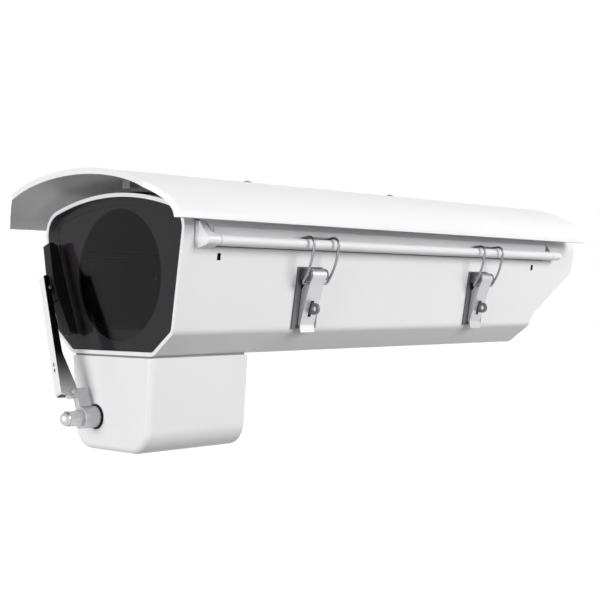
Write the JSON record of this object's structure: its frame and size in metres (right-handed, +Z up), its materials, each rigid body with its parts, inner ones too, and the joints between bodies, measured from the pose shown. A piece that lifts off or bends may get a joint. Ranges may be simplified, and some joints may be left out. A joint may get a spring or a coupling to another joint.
{
  "type": "security camera housing",
  "caption": "Long weatherproof housing for a fixed security camera, with arched sunshield, side latches, wide front window and a wiper on its own drive box.",
  "frame": {"origin": "centre of the fixing hole pattern on the flat underside of the shell", "axes": "+Z up, -Y towards the window, +X towards the latches"},
  "size_m": [0.1844, 0.506, 0.1882],
  "materials": {
    "white_paint": "satin",
    "steel": "brushed",
    "glass": "polished",
    "rubber": "matt",
    "black_plastic": "matt",
    "motor_steel": "satin",
    "aluminium": "satin",
    "board": "satin",
    "terminal_plastic": "satin",
    "nickel_brass": "satin"
  },
  "bodies": {
    "housing": {"front_bezel": "white_paint", "front_glass": "glass", "window_gasket": "rubber", "window_mask": "black_plastic", "body_shell": "white_paint", "rear_cap": "white_paint", "frame_screws": "steel", "side_gaskets": "rubber", "end_gaskets": "rubber", "hinge_body_leaves": "steel", "hinge_pins": "steel", "hinge_body_screws": "steel", "latch_front_base": "steel", "latch_rear_base": "steel", "latch_pins": "steel", "latch_screws": "steel", "wiper_box": "white_paint", "wiper_box_gasket": "rubber", "wiper_box_screws": "steel", "wiper_gearbox": "black_plastic", "gearbox_screws": "steel", "wiper_motor": "motor_steel", "spindle_bush": "black_plastic", "camera_sled": "aluminium", "heater_plate": "aluminium", "fan_frame": "black_plastic", "terminal_board": "board", "terminal_blocks": "terminal_plastic", "mount_plate": "aluminium", "mount_plate_screws": "steel", "gland_bodies": "nickel_brass", "gland_nuts": "nickel_brass", "gland_locknuts": "nickel_brass", "gland_seals": "rubber", "sled_posts": "steel", "board_posts": "steel", "plate_screws": "steel"},
    "cover": {"top_cover": "white_paint", "sunshield": "white_paint", "shield_spacers": "white_paint", "shield_rest": "rubber", "shield_screws": "steel", "shield_nuts": "steel", "hinge_cover_leaves": "steel", "hinge_cover_screws": "steel"},
    "front_lever": {"latch_front_lever": "steel"},
    "front_bail": {"latch_front_bail": "steel"},
    "rear_lever": {"latch_rear_lever": "steel"},
    "rear_bail": {"latch_rear_bail": "steel"},
    "wiper": {"wiper_spindle": "steel", "spindle_nut": "steel", "wiper_head": "white_paint", "arm_pin": "steel"},
    "arm": {"wiper_arm": "white_paint", "arm_spring": "steel", "blade_pin": "steel"},
    "blade": {"blade_clip": "black_plastic", "blade_carrier": "black_plastic", "wiper_rubber": "rubber"},
    "fan": {"fan_rotor": "black_plastic"}
  },
  "joints": [
    {"name": "cover_hinge", "type": "hinge", "parent": "housing", "child": "cover", "pos_m": [-0.0795, 0, 0.0742], "axis": [0, -1, 0], "range_deg": [0, 95]},
    {"name": "front_lever_pivot", "type": "hinge", "parent": "housing", "child": "front_lever", "pos_m": [0.0766, -0.1032, 0.05362], "axis": [0, -1, 0], "range_deg": [0, 95]},
    {"name": "front_bail_pivot", "type": "hinge", "parent": "front_lever", "child": "front_bail", "pos_m": [0.07552, -0.1032, 0.04751], "axis": [0, -1, 0], "range_deg": [-98.8, 0]},
    {"name": "rear_lever_pivot", "type": "hinge", "parent": "housing", "child": "rear_lever", "pos_m": [0.0766, 0.095, 0.05362], "axis": [0, -1, 0], "range_deg": [0, 95]},
    {"name": "rear_bail_pivot", "type": "hinge", "parent": "rear_lever", "child": "rear_bail", "pos_m": [0.07552, 0.095, 0.04751], "axis": [0, -1, 0], "range_deg": [-98.8, 0]},
    {"name": "wiper_sweep", "type": "hinge", "parent": "housing", "child": "wiper", "pos_m": [-0.0145, -0.2214, -0.0417], "axis": [0, 1, 0], "range_deg": [0, 60]},
    {"name": "arm_fold", "type": "hinge", "parent": "wiper", "child": "arm", "pos_m": [-0.02073, -0.238, -0.02588], "axis": [0.9304, 0, 0.3665], "range_deg": [0, 75]},
    {"name": "blade_rock", "type": "hinge", "parent": "arm", "child": "blade", "pos_m": [-0.04822, -0.2362, 0.0439], "axis": [0.9304, 0, 0.3665], "range_deg": [0, 7.5]},
    {"name": "fan_spin", "type": "hinge", "parent": "housing", "child": "fan", "pos_m": [0, -0.135, 0.0155], "axis": [0, 1, 0], "continuous": true}
  ],
  "couplings": [
    {"joint": "front_bail_pivot", "follows": "front_lever_pivot", "ratio": -1.04},
    {"joint": "rear_bail_pivot", "follows": "rear_lever_pivot", "ratio": -1.04},
    {"joint": "blade_rock", "follows": "arm_fold", "ratio": 0.1}
  ]
}
